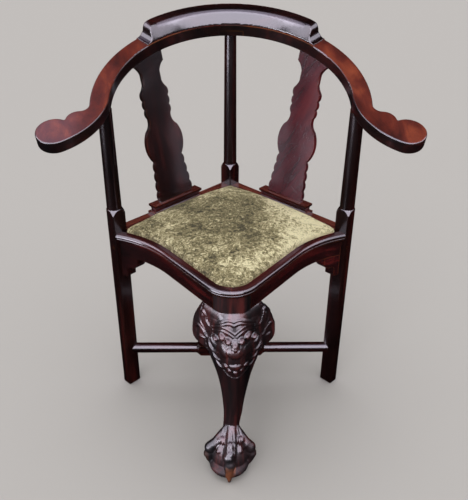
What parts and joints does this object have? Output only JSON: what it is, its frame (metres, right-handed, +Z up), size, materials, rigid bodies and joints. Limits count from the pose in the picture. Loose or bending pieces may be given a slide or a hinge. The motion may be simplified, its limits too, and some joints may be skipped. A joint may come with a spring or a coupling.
{
  "type": "corner chair",
  "caption": "Wooden corner chair with a sloping arm bow and crest, vase splats, a carved cabriole front leg, crossing stretchers and a lift-out upholstered seat.",
  "frame": {"origin": "middle of the footprint (bounding box) on the floor", "axes": "+Z up, -Y towards the front (the cabriole leg's corner), +X to the right as seen from the front"},
  "size_m": [0.731, 0.5958, 0.859],
  "materials": {
    "wood": "dark red-brown mahogany, wax polished",
    "carved_wood": "dark red-brown mahogany, carved and polished",
    "worn_wood": "faded red-brown mahogany, rubbed at the edges",
    "bare_wood": "unpolished beech",
    "screw_steel": "dulled steel",
    "tack_steel": "blued steel",
    "jute_webbing": "woven jute",
    "hessian": "coarse plain weave",
    "stuffing": "hair and wadding",
    "green_velvet": "olive green crushed velvet"
  },
  "bodies": {
    "chair_frame": {"front_leg": "carved_wood", "left_leg": "wood", "right_leg": "wood", "back_leg": "wood", "left_back_rail": "wood", "right_back_rail": "wood", "left_front_rail": "wood", "right_front_rail": "wood", "left_seat_moulding": "wood", "right_seat_moulding": "wood", "left_knee_ear": "carved_wood", "right_knee_ear": "carved_wood", "left_leg_bracket": "wood", "right_leg_bracket": "wood", "left_splat": "wood", "right_splat": "wood", "left_splat_shoe": "wood", "right_splat_shoe": "wood", "left_arm": "worn_wood", "right_arm": "worn_wood", "crest_rail": "wood", "side_stretcher": "wood", "depth_stretcher": "wood", "left_corner_block": "bare_wood", "right_corner_block": "bare_wood", "back_corner_block": "bare_wood", "corner_block_screws": "screw_steel", "crest_screws": "screw_steel", "rail_pegs": "wood"},
    "drop_seat": {"seat_back_left_bar": "bare_wood", "seat_back_right_bar": "bare_wood", "seat_front_left_bar": "bare_wood", "seat_front_right_bar": "bare_wood", "webbing": "jute_webbing", "base_cloth": "hessian", "seat_pad": "stuffing", "seat_cover": "green_velvet", "cover_tacks": "tack_steel"}
  },
  "joints": [
    {"name": "seat_lift", "type": "slide", "parent": "chair_frame", "child": "drop_seat", "axis": [0, 0, 1], "range_m": [0, 0.3]}
  ]
}
